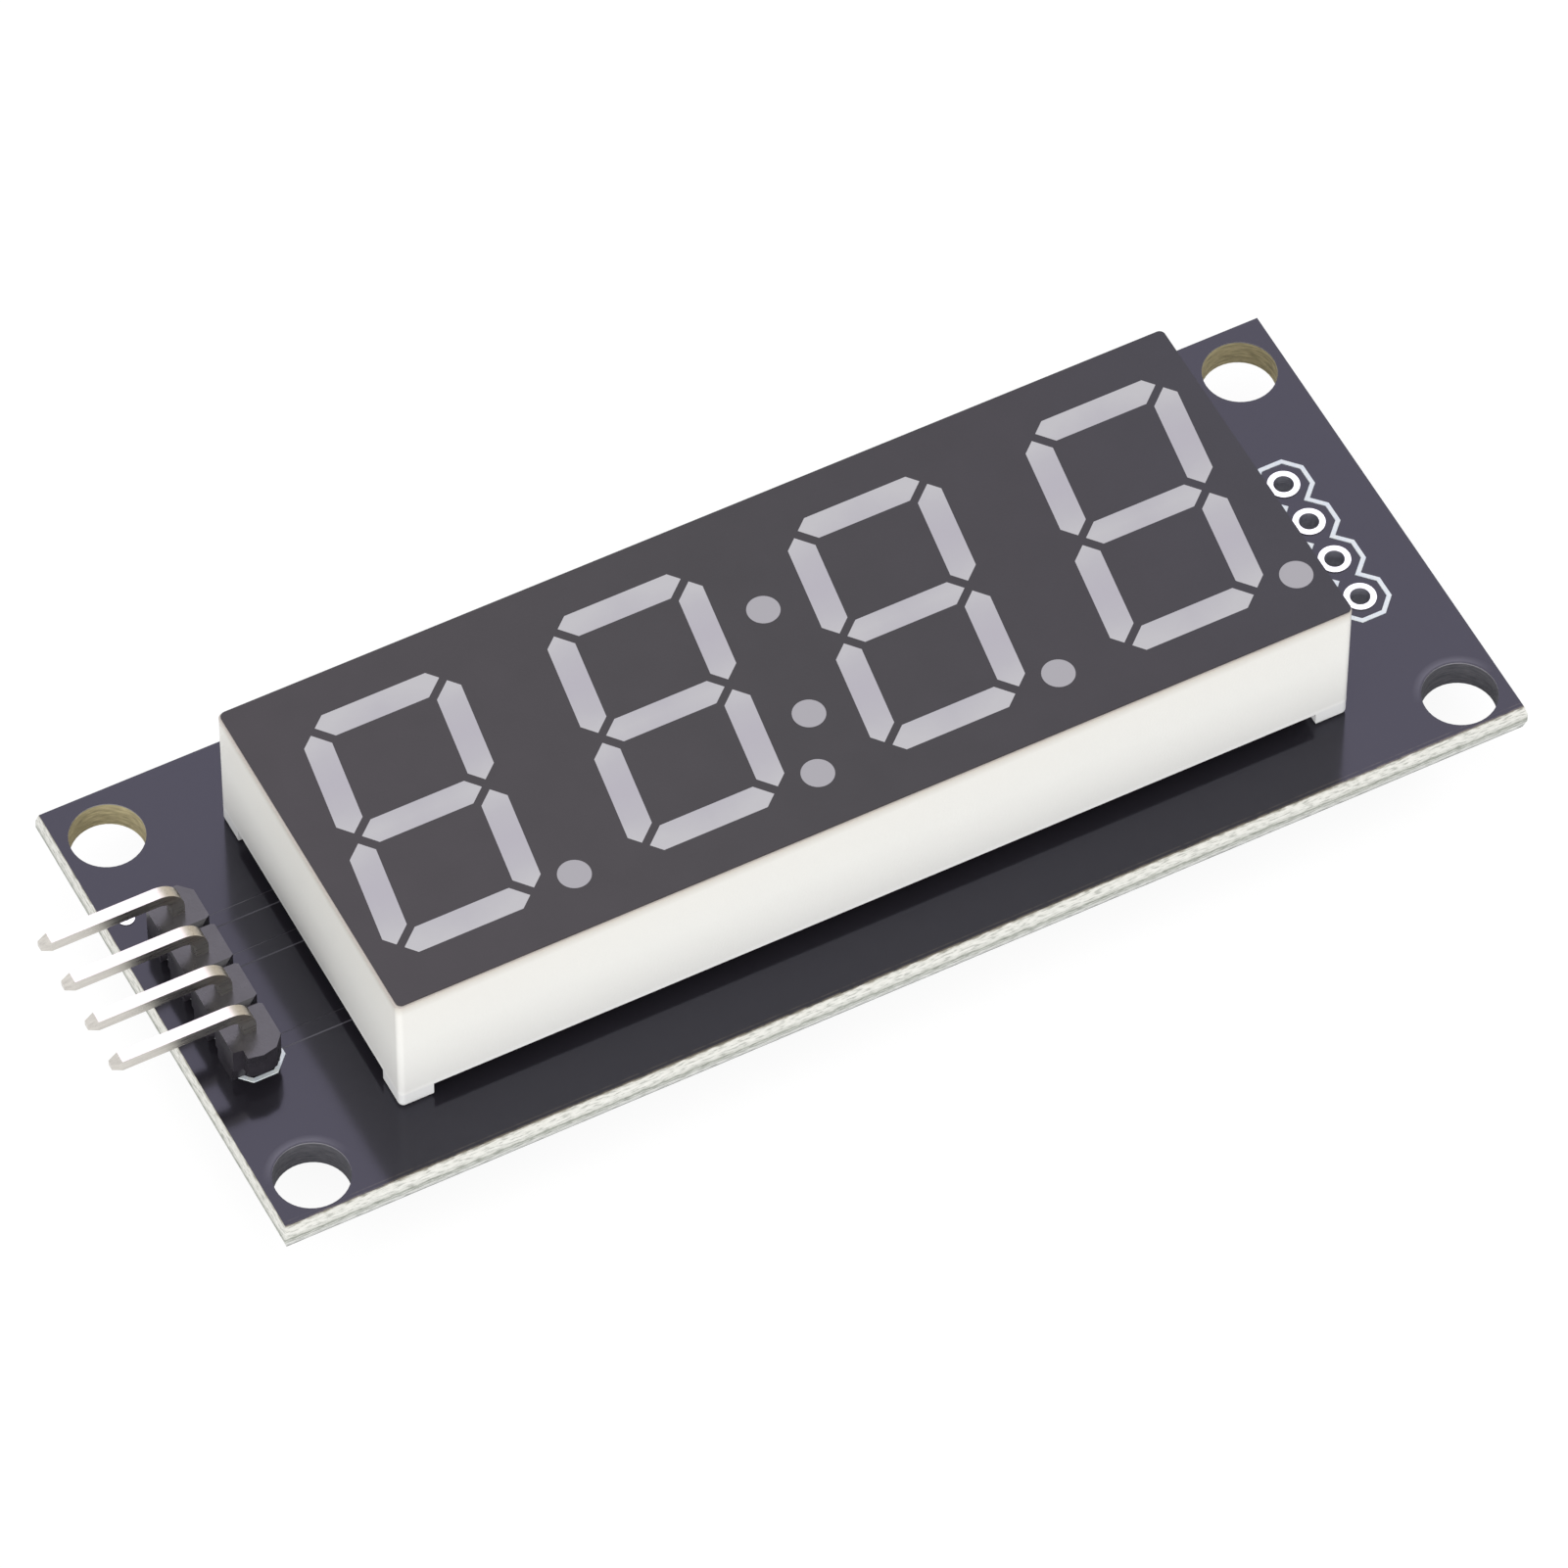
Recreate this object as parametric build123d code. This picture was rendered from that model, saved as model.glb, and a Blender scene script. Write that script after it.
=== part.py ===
from build123d import *
import math
import os

# Four-digit seven segment display module: a display potted in a white shell stands on a small
# circuit board, with a bent four-pin header at one end and four bare plated holes at the other.
# Millimetres. X runs along the row of digits in reading order, Y towards the tops of the digits,
# Z out of the face. The origin is the centre of the four mounting holes, on the board's underside.

# Circuit board. Length and width are those of its top face; scoring leaves the edge wider between.
board_length = 65.5
board_width = 26.5
board_thickness = 1.6
board_shift_y = 0.25            # the outline's centre lies this far behind the hole pattern's
score_depth = 0.55              # how deep each scoring cut went, from the top and from below
score_angle = 15.0              # half the angle of the scoring blade
mounting_hole_diameter = 3.7
mounting_pitch_x = 60.8
mounting_pitch_y = 21.9

# Bare plated holes at the right-hand end, and one plated via beside the header.
pitch = 2.54
row_count = 4
row_y = 0.1                     # the middle of both rows of four
end_row_x = 28.97
plated_hole_diameter = 1.0
land_diameter = 1.6
land_thickness = 0.06
via_x = -31.7
via_y = 6.2
via_hole_diameter = 0.35
via_land_diameter = 0.85

# Display: shell, printed face, epoxy, chip board and pins.
shell_length = 50.2
shell_width = 19.0
display_height = 8.0            # from the board's top face to the printed face
shell_wall = 1.0
shell_corner_radius = 0.3
foot_height = 0.95
foot_length_x = 1.75
foot_length_y = 1.8
foot_edge_radius = 0.3
face_ink_thickness = 0.06
face_ink_margin = 0.1           # white rim that the print leaves along two of the face's edges
fill_recess = 0.35              # from the shell's lower edge up to the cured epoxy
chip_board_drop = 4.4           # from the printed face down to the chip board
chip_board_thickness = 1.0
chip_board_gap = 0.4            # epoxy between the chip board's edge and the shell
led_layer = 0.35                # epoxy between the chip board and the underside of the wells
led_size = 0.36
led_height = 0.2

# Digits.
digit_count = 4
digit_pitch = 12.7
digit_height = 14.26
digit_width = 8.18
digit_slant = 8.0               # degrees that the digits lean to the right
digits_shift_y = 0.1
segment_width = 1.36
segment_gap = 0.43
digit_corner_cut = 1.39         # leg of the bevel across each outer corner of a digit
dot_diameter = 1.62
dot_offset_x = 5.58             # decimal point, from the digit's centre, before slanting
colon_spacing = 6.38
well_floor_scale = 0.45         # how far each well narrows towards its LED
well_lip = 0.8                  # depth at the face over which a well keeps its full size

# Display pins and their solder.
display_pins_per_row = 7
display_row_spacing = 15.24
display_pin_diameter = 0.5
display_pin_clearance = 0.2     # all round each pin in its hole
pin_stick_out = 2.6             # below the board
solder_base_diameter = 1.8
solder_top_diameter = 0.8
solder_height = 0.9

# Pin header.
header_x = -30.1
header_width = 2.48
header_height = 2.5
header_end_bevel = 0.6
header_stub_length = 0.45       # left of the neck where the strip was broken off in front
header_stub_bottom = 1.0
header_stub_slope = 0.15        # how far its broken face slopes back on either side
header_nick_depth = 0.5
header_nick_half_width = 0.3
header_groove_depth = 0.2
header_foot_length = 1.5
header_foot_height = 0.7
header_pin_size = 0.64
header_pin_clearance = 0.06     # outside each square pin's corners in its hole
header_pin_rise = 4.05          # from the board's top face to the middle of the level part
header_pin_reach = -37.1        # X of the pin tips
header_pin_bend_radius = 1.0    # at the middle of the pin
header_pin_stick_out = 1.4
header_pin_taper_length = 0.5
header_pin_tip_size = 0.34

# Driver chip under the board, with gull-wing leads, and the small parts beside it.
chip_length = 12.8
chip_width = 7.5
chip_height = 2.2
chip_standoff = 0.12
chip_draft = 0.25               # how much the body narrows from its middle to its faces
chip_lead_pitch = 1.27
chip_leads_per_side = 10
chip_lead_width = 0.41
chip_lead_thickness = 0.25
chip_lead_span = 10.3
chip_lead_foot = 0.75
chip_dimple_diameter = 1.0
chip_dimple_depth = 0.15
small_part_length = 1.6
small_part_width = 0.8
capacitor_height = 0.8
resistor_height = 0.45
small_part_clear_x = 2.6        # from the chip's end to the first column of small parts
small_part_rows = (-3.0, 0.0, 3.0)

# Places worked out from the sizes above.
board_top = board_thickness
score_inset = score_depth * math.tan(math.radians(score_angle))
face_z = board_top + display_height
shell_top = face_z - face_ink_thickness
shell_edge_z = board_top + foot_height
chip_board_top = face_z - chip_board_drop
well_floor_z = chip_board_top + led_layer
fill_bottom = shell_edge_z + fill_recess
recess_length = shell_length - 2 * shell_wall
recess_width = shell_width - 2 * shell_wall
header_pin_z = board_top + header_pin_rise
header_hole_diameter = header_pin_size * math.sqrt(2) + 2 * header_pin_clearance
display_pin_hole_diameter = display_pin_diameter + 2 * display_pin_clearance
slant = math.tan(math.radians(digit_slant))


def row_places(count, spacing, middle=0.0):
    """Positions of `count` things in a row about `middle`."""
    return [middle + spacing * (i - (count - 1) / 2) for i in range(count)]


header_ys = row_places(row_count, pitch, row_y)[::-1]
display_pin_places = [
    (x, y)
    for y in (-display_row_spacing / 2, display_row_spacing / 2)
    for x in row_places(display_pins_per_row, pitch)
]


def cylinder(diameter, bottom, top, x=0.0, y=0.0):
    """An upright cylinder between two heights."""
    blank = Cylinder(diameter / 2, top - bottom, align=(Align.CENTER, Align.CENTER, Align.MIN))
    return Pos(x, y, bottom) * blank


def block(length, width, bottom, top, x=0.0, y=0.0):
    """An upright box between two heights."""
    blank = Box(length, width, top - bottom, align=(Align.CENTER, Align.CENTER, Align.MIN))
    return Pos(x, y, bottom) * blank


def scored_prism(face_length, along):
    """A bar with the board's scored edge section, `face_length` across its top face."""
    half = face_length / 2
    web = half + score_inset
    corners = [
        (-half, 0), (half, 0),
        (web, score_depth), (web, board_thickness - score_depth),
        (half, board_thickness), (-half, board_thickness),
        (-web, board_thickness - score_depth), (-web, score_depth),
    ]
    outline = make_face(Polyline(*corners, close=True))
    return extrude(Plane.XZ * outline, along / 2, both=True)


def circuit_board():
    """The laminate with its scored edges and every hole."""
    over = 2 * (board_length + board_width)
    bar_x = scored_prism(board_length, over)
    bar_y = Rot(0, 0, 90) * scored_prism(board_width, over)
    board = Pos(0, board_shift_y, 0) * (bar_x & bar_y)
    holes = []
    for x in (-mounting_pitch_x / 2, mounting_pitch_x / 2):
        for y in (-mounting_pitch_y / 2, mounting_pitch_y / 2):
            holes.append((x, y, mounting_hole_diameter))
    holes += [(end_row_x, y, plated_hole_diameter) for y in header_ys]
    holes += [(header_x, y, header_hole_diameter) for y in header_ys]
    holes += [(x, y, display_pin_hole_diameter) for x, y in display_pin_places]
    holes.append((via_x, via_y, via_hole_diameter))
    return board - [cylinder(d, -1, board_top + 1, x, y) for x, y, d in holes]


def plated_hole(x, y, bore, land):
    """The tinned lands of one plated hole, above and below; the plated wall is the board's."""
    return [
        cylinder(land, low, low + land_thickness, x, y) - cylinder(bore, low - 1, low + 1, x, y)
        for low in (board_top, -land_thickness)
    ]


def segment_outlines():
    """The seven segments of one upright digit, as lists of corners about its centre.

    The digit is a figure eight of even strokes with bevelled outer corners. Cuts at 45 degrees
    through each junction part it into seven pieces. Order: a, b, c, d, e, f, g.
    """
    half_w = (digit_width - segment_width) / 2      # stroke centre lines
    half_h = (digit_height - segment_width) / 2
    t = segment_width / 2
    g = segment_gap / math.sqrt(2)                  # the gap, measured along a stroke's axis
    bevel = (digit_width + digit_height) / 2 - digit_corner_cut
    tip_v = (bevel + half_h - half_w + g) / 2       # where a's bevel meets its junction cut
    tip_u = bevel - tip_v
    side_v = (bevel + half_h - half_w - g) / 2      # the same for b
    side_u = bevel - side_v
    top = [
        (-(bevel - half_h - t), half_h + t), (bevel - half_h - t, half_h + t),
        (tip_u, tip_v),
        (half_w - t - g, half_h - t), (-(half_w - t - g), half_h - t),
        (-tip_u, tip_v),
    ]
    right = [
        (half_w + t, bevel - half_w - t), (side_u, side_v),
        (half_w - t, half_h - t - g), (half_w - t, t + g),
        (half_w, g), (half_w + t, t + g),
    ]
    middle = [
        (-(half_w - t - g), t), (half_w - t - g, t), (half_w - g, 0),
        (half_w - t - g, -t), (-(half_w - t - g), -t), (-(half_w - g), 0),
    ]
    flip = [(u, -v) for u, v in right]
    return [
        top, right, flip, [(u, -v) for u, v in top],
        [(-u, v) for u, v in flip], [(-u, v) for u, v in right], middle,
    ]


def slanted(points, centre_x):
    """Lean points over by the digits' slant and put them on the display's face."""
    return [(centre_x + u + v * slant, v + digits_shift_y) for u, v in points]


def polygon_at(points, z):
    """A flat face with these corners at height z."""
    return Pos(0, 0, z) * make_face(Polyline(*points, close=True))


def segment_well(points):
    """One segment's light well: full size at the face, narrowing to its LED."""
    mid_x = sum(x for x, _ in points) / len(points)
    mid_y = sum(y for _, y in points) / len(points)
    floor = [
        (mid_x + (x - mid_x) * well_floor_scale, mid_y + (y - mid_y) * well_floor_scale)
        for x, y in points
    ]
    lip_z = face_z - well_lip
    lip = extrude(polygon_at(points, lip_z), well_lip)
    funnel = loft([polygon_at(floor, well_floor_z), polygon_at(points, lip_z)], ruled=True)
    return lip + funnel


def dot_well(x, y):
    """One dot's light well: a short cylinder over a cone."""
    lip_z = face_z - well_lip
    lip = cylinder(dot_diameter, lip_z, face_z, x, y)
    funnel = Cone(
        dot_diameter / 2 * well_floor_scale, dot_diameter / 2, lip_z - well_floor_z,
        align=(Align.CENTER, Align.CENTER, Align.MIN),
    )
    return lip + Pos(x, y, well_floor_z) * funnel


digit_centres = row_places(digit_count, digit_pitch)
segment_faces = [slanted(points, x) for x in digit_centres for points in segment_outlines()]
point_v = -(digit_height - segment_width) / 2
dot_places = [slanted([(dot_offset_x, point_v)], x)[0] for x in digit_centres]
dot_places += slanted([(0, colon_spacing / 2), (0, -colon_spacing / 2)], 0)


def light_wells():
    """Every well of the display: segments, decimal points and colon."""
    wells = [segment_well(points) for points in segment_faces]
    return wells + [dot_well(x, y) for x, y in dot_places]


def display_shell():
    """The white moulding: one block on four corner feet, hollow below, with its light wells."""
    outline = RectangleRounded(shell_length, shell_width, shell_corner_radius)
    shell = Pos(0, 0, board_top) * extrude(outline, shell_top - board_top)
    between_x = shell_length - 2 * foot_length_x
    between_y = shell_width - 2 * foot_length_y
    shell -= block(between_x, shell_width + 2, board_top - 1, shell_edge_z)
    shell -= block(shell_length + 2, between_y, board_top - 1, shell_edge_z)
    shell = fillet(shell.edges().group_by(Axis.Z)[0], foot_edge_radius)
    shell -= block(recess_length, recess_width, board_top - 1, well_floor_z)
    return shell - light_wells()


def face_ink():
    """The dark printed face, open over every segment and dot.

    It was printed a little off centre, so it leaves a white rim on the left and in front only.
    """
    length = shell_length - face_ink_margin
    width = shell_width - face_ink_margin
    sheet = extrude(RectangleRounded(length, width, shell_corner_radius), face_ink_thickness)
    sheet = Pos(face_ink_margin / 2, face_ink_margin / 2, shell_top) * sheet
    openings = [
        extrude(polygon_at(points, shell_top - 1), 2 + face_ink_thickness)
        for points in segment_faces
    ]
    openings += [cylinder(dot_diameter, shell_top - 1, face_z + 1, x, y) for x, y in dot_places]
    return sheet - openings


def chip_board():
    """The small board inside the display that carries the LEDs and the pins."""
    length = recess_length - 2 * chip_board_gap
    width = recess_width - 2 * chip_board_gap
    body = block(length, width, chip_board_top - chip_board_thickness, chip_board_top)
    return body - [display_pin(x, y) for x, y in display_pin_places]


def led_chips():
    """One LED under each segment and dot."""
    middles = [
        (sum(x for x, _ in points) / len(points), sum(y for _, y in points) / len(points))
        for points in segment_faces
    ]
    return [
        block(led_size, led_size, chip_board_top, chip_board_top + led_height, x, y)
        for x, y in middles + dot_places
    ]


def display_pin(x, y):
    """A round pin from the chip board down through the main board."""
    return cylinder(display_pin_diameter, -pin_stick_out, chip_board_top, x, y)


def epoxy_fill():
    """The cast epoxy: it fills the wells and the back of the shell in one piece."""
    body = block(recess_length, recess_width, fill_bottom, well_floor_z)
    body += light_wells()
    length = recess_length - 2 * chip_board_gap
    width = recess_width - 2 * chip_board_gap
    body -= block(length, width, chip_board_top - chip_board_thickness, chip_board_top)
    return body - led_chips() - [display_pin(x, y) for x, y in display_pin_places]


def solder_joint(hole, pin, x, y):
    """Solder that fills a hole round its pin and rises to a cone under the board."""
    cone = Cone(
        solder_top_diameter / 2, solder_base_diameter / 2, solder_height,
        align=(Align.CENTER, Align.CENTER, Align.MIN),
    )
    joint = Pos(x, y, -solder_height) * cone
    return joint + cylinder(hole, -solder_height / 2, board_top, x, y) - pin


def header_base():
    """The header's moulding: a breakable strip of bevelled cells on feet."""
    half_w = header_width / 2
    half_l = row_count * pitch / 2
    bevel = header_end_bevel
    neck = half_w - header_nick_depth
    front = -half_l - header_stub_length
    shoulder = -half_l + header_nick_half_width
    slope = header_stub_slope
    corners = [
        (-half_w, shoulder), (-neck, shoulder - slope / 2), (-neck, front + slope),
        (0, front), (neck, front + slope), (half_w, shoulder),
        (half_w, half_l - bevel), (half_w - bevel, half_l),
        (-half_w + bevel, half_l), (-half_w, half_l - bevel),
    ]
    base = extrude(make_face(Polyline(*corners, close=True)), header_height)
    # The nick's sides run on past the moulding, so its width there grows by the same slope.
    over = 1.0
    spread = header_nick_half_width * (1 + over / header_nick_depth)
    nick = [
        (half_w - header_nick_depth, 0), (half_w + over, spread), (half_w + over, -spread),
    ]
    wedge = extrude(make_face(Polyline(*nick, close=True)), header_height)
    groove = make_face(Polyline(
        (0, header_height - header_groove_depth),
        (header_groove_depth + 1, header_height + 1),
        (-header_groove_depth - 1, header_height + 1),
        close=True,
    ))
    groove = extrude(Plane.YZ * groove, header_width, both=True)
    for y in row_places(row_count - 1, pitch):
        base -= Pos(0, y, 0) * wedge
        base -= Pos(0, y, 0) * Rot(0, 0, 180) * wedge
        base -= Pos(0, y, 0) * groove
    gap = pitch - header_foot_length
    for y in row_places(row_count + 1, pitch):
        base -= block(header_width + 2, gap, -1, header_foot_height, 0, y)
    # Under the stub the gap is higher, and runs out past the broken face.
    length = gap / 2 + header_stub_length + 1
    base -= block(header_width + 2, length, -1, header_stub_bottom, 0, -half_l + (gap - length) / 2)
    base = Pos(header_x, row_y, board_top) * base
    bores = [
        block(header_pin_size, header_pin_size, 0, header_pin_z, header_x, y) for y in header_ys
    ]
    return base - bores


def header_pin(y):
    """One square pin: up through the board and base, round a bend, and out past the edge."""
    half = header_pin_size / 2
    centre = (header_x - header_pin_bend_radius, header_pin_z - header_pin_bend_radius)
    low = -header_pin_stick_out
    taper_x = header_pin_reach + header_pin_taper_length
    outer = CenterArc(centre, header_pin_bend_radius + half, 0, 90)
    inner = CenterArc(centre, header_pin_bend_radius - half, 0, 90)
    back = Polyline((header_x + half, low), (header_x + half, centre[1]))
    over = Polyline((centre[0], header_pin_z + half), (taper_x, header_pin_z + half))
    end = Polyline((taper_x, header_pin_z + half), (taper_x, header_pin_z - half))
    under = Polyline((taper_x, header_pin_z - half), (centre[0], header_pin_z - half))
    front = Polyline((header_x - half, centre[1]), (header_x - half, low))
    foot = Polyline((header_x - half, low), (header_x + half, low))
    outline = make_face([back, outer, over, end, under, inner, front, foot])
    pin = extrude(Plane.XZ * outline, half, both=True)
    tip = loft([
        Plane(origin=(taper_x, 0, header_pin_z), z_dir=(-1, 0, 0))
        * Rectangle(header_pin_size, header_pin_size),
        Plane(origin=(header_pin_reach, 0, header_pin_z), z_dir=(-1, 0, 0))
        * Rectangle(header_pin_tip_size, header_pin_tip_size),
    ], ruled=True)
    return Pos(0, y, 0) * (pin + tip)


def chip_body():
    """The driver's moulded body under the board, widest at its mould line."""
    top = -chip_standoff
    bottom = top - chip_height
    middle = (top + bottom) / 2
    narrow_l = chip_length - 2 * chip_draft
    narrow_w = chip_width - 2 * chip_draft
    upper = loft([
        Pos(0, 0, middle) * Rectangle(chip_length, chip_width),
        Pos(0, 0, top) * Rectangle(narrow_l, narrow_w),
    ], ruled=True)
    lower = loft([
        Pos(0, 0, bottom) * Rectangle(narrow_l, narrow_w),
        Pos(0, 0, middle) * Rectangle(chip_length, chip_width),
    ], ruled=True)
    mark_x = -narrow_l / 2 + chip_dimple_diameter
    mark_y = narrow_w / 2 - chip_dimple_diameter
    dimple = cylinder(chip_dimple_diameter, bottom - 1, bottom + chip_dimple_depth, mark_x, mark_y)
    return upper + lower - dimple


def chip_leads():
    """Twenty gull-wing leads, from the body's mould line to the board."""
    middle = -chip_standoff - chip_height / 2
    t = chip_lead_thickness
    root = chip_width / 2
    toe = chip_lead_span / 2
    heel = toe - chip_lead_foot
    knee = (root + heel) / 2
    outline = [
        (root, middle - t / 2), (knee + t, middle - t / 2), (heel + t, -t),
        (toe, -t), (toe, 0), (heel, 0), (knee, middle + t / 2), (root, middle + t / 2),
    ]
    blank = extrude(
        Plane.YZ * make_face(Polyline(*outline, close=True)), chip_lead_width / 2, both=True
    )
    leads = []
    for x in row_places(chip_leads_per_side, chip_lead_pitch):
        leads.append(Pos(x, 0, 0) * blank)
        leads.append(Pos(x, 0, 0) * Rot(0, 0, 180) * blank)
    return leads


def small_part(x, y, height):
    """A chip capacitor or resistor under the board: ceramic with a cap on each end."""
    body = block(small_part_length, small_part_width, -height, 0, x, y)
    return fillet(body.edges().filter_by(Axis.X), 0.06)


def save(name, *solids):
    """Write one node, which holds one solid or a group of alike ones."""
    shape = solids[0] if len(solids) == 1 else Compound(children=list(solids))
    export_step(shape, f"parts/{name}.step")


os.makedirs("parts", exist_ok=True)

save("circuit_board", circuit_board())
for number, y in enumerate(header_ys, 1):
    rings = plated_hole(end_row_x, y, plated_hole_diameter, land_diameter)
    save(f"end_plated_hole_{number}", *rings)
save("via", *plated_hole(via_x, via_y, via_hole_diameter, via_land_diameter))

save("display_shell", display_shell())
save("display_face_ink", face_ink())
save("display_epoxy", epoxy_fill())
save("display_chip_board", chip_board())
save("display_led_chips", *led_chips())
for number, (x, y) in enumerate(display_pin_places, 1):
    save(f"display_pin_{number:02d}", display_pin(x, y))
save("display_pin_solder", *[
    solder_joint(display_pin_hole_diameter, display_pin(x, y), x, y)
    for x, y in display_pin_places
])

save("header_base", header_base())
for number, y in enumerate(header_ys, 1):
    save(f"header_pin_{number}", header_pin(y))
save("header_pin_solder", *[
    solder_joint(header_hole_diameter, header_pin(y), header_x, y) for y in header_ys
])

save("driver_chip_body", chip_body())
save("driver_chip_leads", *chip_leads())
column_x = chip_length / 2 + small_part_clear_x
for number, y in enumerate(small_part_rows, 1):
    save(f"capacitor_{number}", small_part(-column_x, y, capacitor_height))
save("capacitor_4", small_part(column_x, small_part_rows[1], capacitor_height))
save("resistor_1", small_part(column_x, small_part_rows[0], resistor_height))
save("resistor_2", small_part(column_x, small_part_rows[2], resistor_height))
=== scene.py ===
# %% [markdown]
# # A four-digit display module
# A seven segment display stands on a small black circuit board. The exact shapes come from a packed
# CAD model, one object per part, already in metres and in place. This lesson gives those shapes
# their finishes, and adds the thin things that CAD left out: the printed outlines, the copper
# tracks that show through the lacquer, and rounded solder. We load the model first, and note its
# box.

# %% Load the CAD model
import math

import bmesh
import bpy
import numpy as np
from mathutils import Matrix, Vector


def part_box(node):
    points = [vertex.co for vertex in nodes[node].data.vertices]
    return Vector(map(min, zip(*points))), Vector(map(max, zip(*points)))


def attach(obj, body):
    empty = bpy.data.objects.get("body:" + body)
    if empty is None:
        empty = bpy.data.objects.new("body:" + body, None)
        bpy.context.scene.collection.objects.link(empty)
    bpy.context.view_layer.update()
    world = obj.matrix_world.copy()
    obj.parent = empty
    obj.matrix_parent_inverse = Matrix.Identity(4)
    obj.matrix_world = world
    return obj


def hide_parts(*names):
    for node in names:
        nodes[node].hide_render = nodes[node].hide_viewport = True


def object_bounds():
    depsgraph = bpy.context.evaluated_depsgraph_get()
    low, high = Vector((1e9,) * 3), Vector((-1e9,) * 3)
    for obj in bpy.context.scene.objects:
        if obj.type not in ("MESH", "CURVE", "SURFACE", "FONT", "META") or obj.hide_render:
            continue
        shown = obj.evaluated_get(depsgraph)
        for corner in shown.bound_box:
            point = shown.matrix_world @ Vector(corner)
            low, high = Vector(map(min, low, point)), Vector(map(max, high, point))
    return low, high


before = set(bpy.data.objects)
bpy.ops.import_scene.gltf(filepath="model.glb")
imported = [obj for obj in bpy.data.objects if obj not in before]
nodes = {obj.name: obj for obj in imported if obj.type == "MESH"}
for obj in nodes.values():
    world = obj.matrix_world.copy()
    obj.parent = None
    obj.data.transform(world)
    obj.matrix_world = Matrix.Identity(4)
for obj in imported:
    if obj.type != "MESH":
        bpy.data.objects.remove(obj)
cad_box = [list(corner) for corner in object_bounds()]
MM = 0.001                      # every size below is in millimetres, and is turned to metres last
print(len(nodes), "CAD parts")

# %% [markdown]
# ## The camera
# A product picture of a small object is taken from far away with a long lens, so that the module's
# near and far ends look almost equally wide. We could place such a camera by eye. It is easier to
# repeat as a point to aim at, a direction round the object, a height, a distance and a slight roll.

# %% Camera
AIM = Vector((-0.634, -0.972, 1.6)) * MM
AZIMUTH, ELEVATION, ROLL = -27.645, 53.618, 0.339   # degrees; azimuth 90 would look along -X
DISTANCE = 612.42 * MM
LENS = 297.24                                       # for a sensor 36 mm wide


def direction(azimuth, elevation):
    """The unit vector from the module towards something seen at these two angles, in degrees."""
    a, e = math.radians(azimuth), math.radians(elevation)
    return Vector((math.sin(a) * math.cos(e), -math.cos(a) * math.cos(e), math.sin(e)))


towards_camera = direction(AZIMUTH, ELEVATION)
camera = bpy.data.objects.new("camera", bpy.data.cameras.new("camera"))
bpy.context.scene.collection.objects.link(camera)
camera.data.lens = LENS
camera.data.clip_end = 10
aimed = (-towards_camera).to_track_quat("-Z", "Y").to_matrix().to_4x4()
camera.matrix_world = (Matrix.Translation(AIM + towards_camera * DISTANCE) @ aimed
                       @ Matrix.Rotation(math.radians(ROLL), 4, "Z"))
bpy.context.scene.camera = camera
print("camera at", [round(v, 4) for v in camera.matrix_world.translation])

# %% [markdown]
# ## Mesh helpers
# Each new piece is a grid of points worked out with numpy, in which every cell of four neighbours
# becomes a face. Grids can wrap round, as a ring does, or close to a point, as a solder cone does.


# %% Helpers for meshes
def build(name, grids, material):
    """One piece from several grids of points, each (rows, columns, 3) in mm with two wrap flags.

    Four neighbours make a face; a wrap flag joins the last row or column to the first. Points that
    fall together are merged, which closes poles, and then all faces are turned outwards.
    """
    points, faces, start = [], [], 0
    for grid, wrap_rows, wrap_columns in grids:
        rows, columns = grid.shape[:2]
        index = start + np.arange(rows * columns).reshape(rows, columns)
        if wrap_rows:
            index = np.vstack([index, index[:1]])
        if wrap_columns:
            index = np.hstack([index, index[:, :1]])
        cells = [index[:-1, :-1], index[1:, :-1], index[1:, 1:], index[:-1, 1:]]
        faces.append(np.stack(cells, -1).reshape(-1, 4))
        points.append(grid.reshape(-1, 3) * MM)
        start += rows * columns
    mesh = bpy.data.meshes.new(name)
    mesh.from_pydata(np.vstack(points).tolist(), [], np.vstack(faces).tolist())
    shape = bmesh.new()
    shape.from_mesh(mesh)
    bmesh.ops.remove_doubles(shape, verts=shape.verts, dist=1e-7)
    bmesh.ops.recalc_face_normals(shape, faces=shape.faces)
    shape.to_mesh(mesh)
    shape.free()
    piece = bpy.data.objects.new(name, mesh)
    bpy.context.scene.collection.objects.link(piece)
    mesh.materials.append(material)
    mesh.shade_smooth()
    mesh.set_sharp_from_angle(angle=math.radians(20))
    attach(piece, "root")
    print(name, len(mesh.polygons), "faces")
    return piece


def along_path(path, profile, closed):
    """A profile carried along a flat path: each path point times each profile point.

    Profile points are (across, up). `across` runs along the mitre, the mean of the normals on
    either side, lengthened by one over the cosine of half the turn so that the width stays even.
    An open path ends in a row whose points all meet, which closes it.
    """
    path = np.asarray(path, float)
    profile = np.asarray(profile, float)
    after = np.roll(path, -1, 0) - path
    if not closed:
        after[-1] = after[-2]
    after /= np.linalg.norm(after, axis=1, keepdims=True)
    before = np.roll(after, 1, 0)
    if not closed:
        before[0] = after[0]
    normal_a = np.stack([-before[:, 1], before[:, 0]], 1)
    normal_b = np.stack([-after[:, 1], after[:, 0]], 1)
    mitre = (normal_a + normal_b) / (1 + (normal_a * normal_b).sum(1, keepdims=True))
    flat = path[:, None] + mitre[:, None] * profile[None, :, :1]
    up = np.broadcast_to(profile[None, :, 1:], flat.shape[:2] + (1,))
    grid = np.concatenate([flat, up], -1)
    if not closed:
        ends = grid.mean(1, keepdims=True).repeat(len(profile), 1)
        grid = np.concatenate([ends[:1], grid, ends[-1:]])
    return grid, closed, True


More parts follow.
